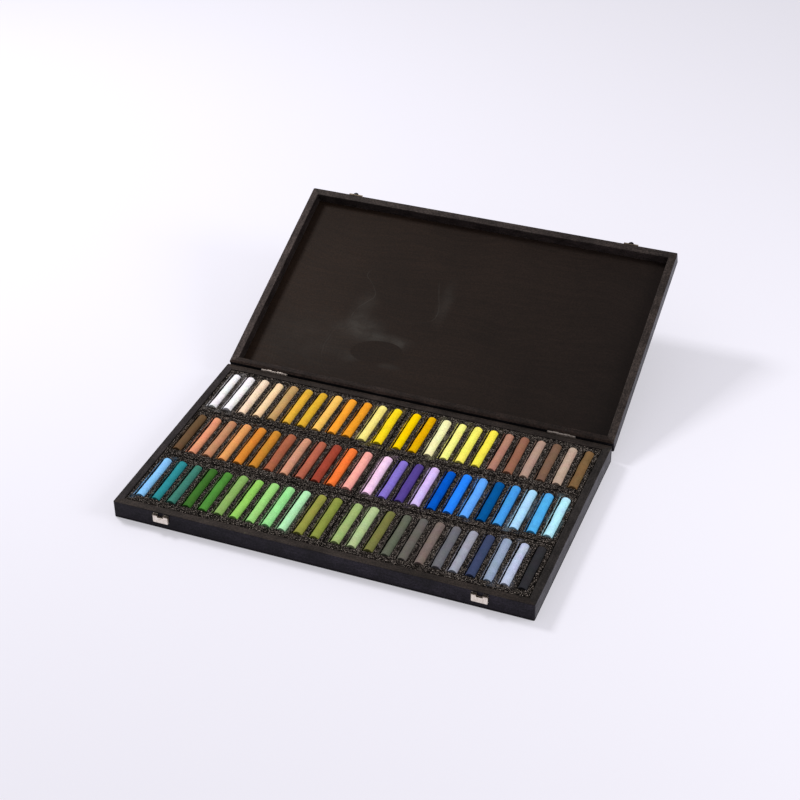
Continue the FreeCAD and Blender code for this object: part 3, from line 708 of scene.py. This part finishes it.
foam, tree, shader = new_material("charcoal_foam")
place = node(tree, "TexCoord").outputs["Object"]
cells = node(tree, "TexVoronoi", {"Vector": place, "Scale": 1500.0})
lot = node(tree, "SeparateColor", {"Color": cells.outputs["Color"]}).outputs[0]
struts = node(tree, "TexNoise", {"Vector": place, "Scale": 1300.0, "Detail": 4.0,
                                 "Roughness": 0.85}).outputs["Fac"]
speckle = plus(tree, times(tree, lot, 0.55), spread(tree, struts, 0.30, 0.70, 0.0, 0.45))
# The brightest specks are partly painted glints, where the foam's cell walls would catch the light; the rest
# is the foam's own speckle.
body = ramp(tree, speckle, [(0.28, "040303"), (0.49, "100D0C"), (0.615, "241F1B"), (0.74, "5E554E"),
                            (0.87, "C0B4AA")])
dust = node(tree, "Attribute", attribute_name="dust")
clump = node(tree, "TexNoise", {"Vector": place, "Scale": 800.0, "Detail": 4.0,
                                "Roughness": 0.8}).outputs["Fac"]
powder = times(tree, dust.outputs["Alpha"], spread(tree, clump, 0.42, 0.56, 0.12, 1.0))
tree.links.new(mixed(tree, powder, body, dust.outputs["Color"]), shader.inputs["Base Color"])
shader.inputs["Roughness"].default_value = 0.95
shader.inputs["Specular IOR Level"].default_value = 0.05
bump = node(tree, "Bump", {"Height": speckle, "Strength": 0.7, "Distance": 0.0006})
tree.links.new(bump.outputs["Normal"], shader.inputs["Normal"])


def pocket_middles(low, high):
    """The X of every pocket's middle in an insert, from left to right."""
    first = low.x + end_wall + pocket_half_width
    pitch = (high.x - low.x - 2 * (end_wall + pocket_half_width)) / (pockets - 1)
    return [first + i * pitch for i in range(pockets)]


def cut_insert(place):
    """One insert, cut from a block: pockets marked out by cuts, sunk, and their rims rounded."""
    low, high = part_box("foam_insert_" + place)
    bpy.ops.mesh.primitive_cube_add(size=1, location=(low + high) / 2)
    block = bpy.context.object
    block.scale = high - low
    bpy.ops.object.transform_apply(location=True, rotation=True, scale=True)
    middles = pocket_middles(low, high)
    pocket_front = (low.y + high.y) / 2 - pocket_half_length
    pocket_back = (low.y + high.y) / 2 + pocket_half_length
    bpy.ops.object.mode_set(mode="EDIT")
    for x in middles:
        cut_across((x - pocket_half_width, 0, 0), (1, 0, 0))
        cut_across((x + pocket_half_width, 0, 0), (1, 0, 0))
    cut_across((0, pocket_front, 0), (0, 1, 0))
    cut_across((0, pocket_back, 0), (0, 1, 0))

    def over_pocket(point):
        return (pocket_front < point.y < pocket_back
                and any(abs(point.x - x) < pocket_half_width for x in middles))

    select_where(lambda mesh, face: face.normal.z > square_on and over_pocket(face.center))
    bpy.ops.mesh.extrude_region_move(TRANSFORM_OT_translate={"value": (0, 0, pocket_floor - high.z)})

    def on_rim(mesh, edge):
        first, last = [mesh.vertices[v].co for v in edge.vertices]
        centre = (first + last) / 2
        if max(abs(first.z - high.z), abs(last.z - high.z)) > same_spot:
            return False
        if abs(first.x - last.x) < same_spot:
            by_side = any(abs(abs(centre.x - x) - pocket_half_width) < same_spot for x in middles)
            return by_side and pocket_front < centre.y < pocket_back
        by_end = min(abs(centre.y - pocket_front), abs(centre.y - pocket_back)) < same_spot
        return by_end and any(abs(centre.x - x) < pocket_half_width for x in middles)

    select_where(on_rim, "EDGE")
    bpy.ops.mesh.bevel(offset=pocket_round, segments=2, affect="EDGES")

    def on_outer_edge(mesh, edge):
        ends = [mesh.vertices[v].co for v in edge.vertices]
        on_top = all(abs(p.z - high.z) < same_spot for p in ends)
        by_x = any(all(abs(p.x - x) < same_spot for p in ends) for x in (low.x, high.x))
        by_y = any(all(abs(p.y - y) < same_spot for p in ends) for y in (low.y, high.y))
        return on_top and (by_x or by_y)

    select_where(on_outer_edge, "EDGE")
    bpy.ops.mesh.bevel(offset=slab_round, segments=2, affect="EDGES")
    steps = int((high.y - low.y) / foam_step)
    for i in range(1, steps):
        cut_across((0, low.y + i * (high.y - low.y) / steps, 0), (0, 1, 0))
    for x in middles:
        for shift in (-pocket_half_width - dust_line, 0.0):
            cut_across((x + shift, 0, 0), (1, 0, 0))
    for depth in top_cuts:
        cut_across((0, 0, high.z - depth), (0, 0, 1))
    bpy.ops.mesh.select_all(action="SELECT")
    bpy.ops.mesh.remove_doubles(threshold=weld_reach)
    bpy.ops.object.mode_set(mode="OBJECT")
    bpy.ops.object.shade_smooth_by_angle(angle=smooth_angle)
    return block


def drawn_in(depth):
    """How far the foam is squeezed in at a depth from an outer face, where a neighbour presses on it."""
    return seam_squeeze * max(0.0, 1.0 - depth / seam_reach)


def roughen(insert, place):
    """Pushes the cut faces in and out a little, and marks where each colour's dust lies."""
    low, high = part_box("foam_insert_" + place)
    middles = pocket_middles(low, high)
    middle_y = (low.y + high.y) / 2
    pocket_front = middle_y - pocket_half_length
    first_stick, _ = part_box("sticks_" + place + "_1")
    rightward = first_stick.x - snug_side - (middles[0] - pocket_half_width)
    backward = first_stick.y - snug_end - pocket_front
    codes = list(pigments[place].values())
    tint = insert.data.color_attributes.new("dust", "FLOAT_COLOR", "POINT")
    for vertex, entry in zip(insert.data.vertices, tint.data):
        point = vertex.co.copy()
        nearest = min(range(pockets), key=lambda i: abs(point.x - middles[i]))
        across = point.x - middles[nearest]
        beyond = max(abs(point.y - middle_y) - pocket_half_length, 0.0)
        red, green, blue, _ = colour(codes[nearest])
        patchy = noise.noise((point.x * 90, point.y * 60, nearest * 5.0))
        on_left_edge = (across < 0 and beyond == 0.0 and high.z - point.z < dust_depth
                        and abs(across) < pocket_half_width + pocket_round + near_spot)
        dusty = dusty_sticks[place].get(nearest + 1, faint_dust)
        line = (edge_dust + dust_gain * dusty + dust_gain * patchy) if on_left_edge else 0.0
        scattered = 0.0
        by_seam = min(point.x - low.x, high.x - point.x, point.y - low.y, high.y - point.y)
        if point.z > high.z - near_spot and abs(across) > pocket_half_width and by_seam > seam_reach:
            scattered = max(0.0, patchy) * dusty * scatter_gain
        entry.color = (red, green, blue, min(1.0, max(0.0, line, scattered)))
        if -pocket_half_width - dust_line * 1.01 < across < -pocket_half_width * 0.9:
            vertex.co.x += rightward
        vertex.co.y += backward * max(0.0, 1.0 - abs(point.y - pocket_front) / wall_reach)
        if point.z > high.z - top_cuts[-1]:
            wave = (noise.noise_vector(point * coarse_rate) * coarse_reach
                    + noise.noise_vector(point * fine_rate) * fine_reach)
            vertex.co.x += wave.x + drawn_in(point.x - low.x) - drawn_in(high.x - point.x)
            vertex.co.y += wave.y + drawn_in(point.y - low.y) - drawn_in(high.y - point.y)
            vertex.co.z += wave.z * upward_share


# Vector noise is different in every run until it has a seed.
noise.seed_set(ragged_seed)
first_insert = cut_insert("front_left")
first_low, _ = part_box("foam_insert_front_left")
inserts = {"front_left": first_insert}
for place_name in pigments:
    if place_name not in inserts:
        copy = first_insert.copy()
        copy.data = first_insert.data.copy()
        bpy.context.collection.objects.link(copy)
        copy.data.transform(Matrix.Translation(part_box("foam_insert_" + place_name)[0] - first_low))
        inserts[place_name] = copy
for place_name, insert in inserts.items():
    insert.name = "foam_" + place_name
    roughen(insert, place_name)
    insert.data.materials.append(foam)
    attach(insert, "foam_" + place_name)
    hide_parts("foam_insert_" + place_name)
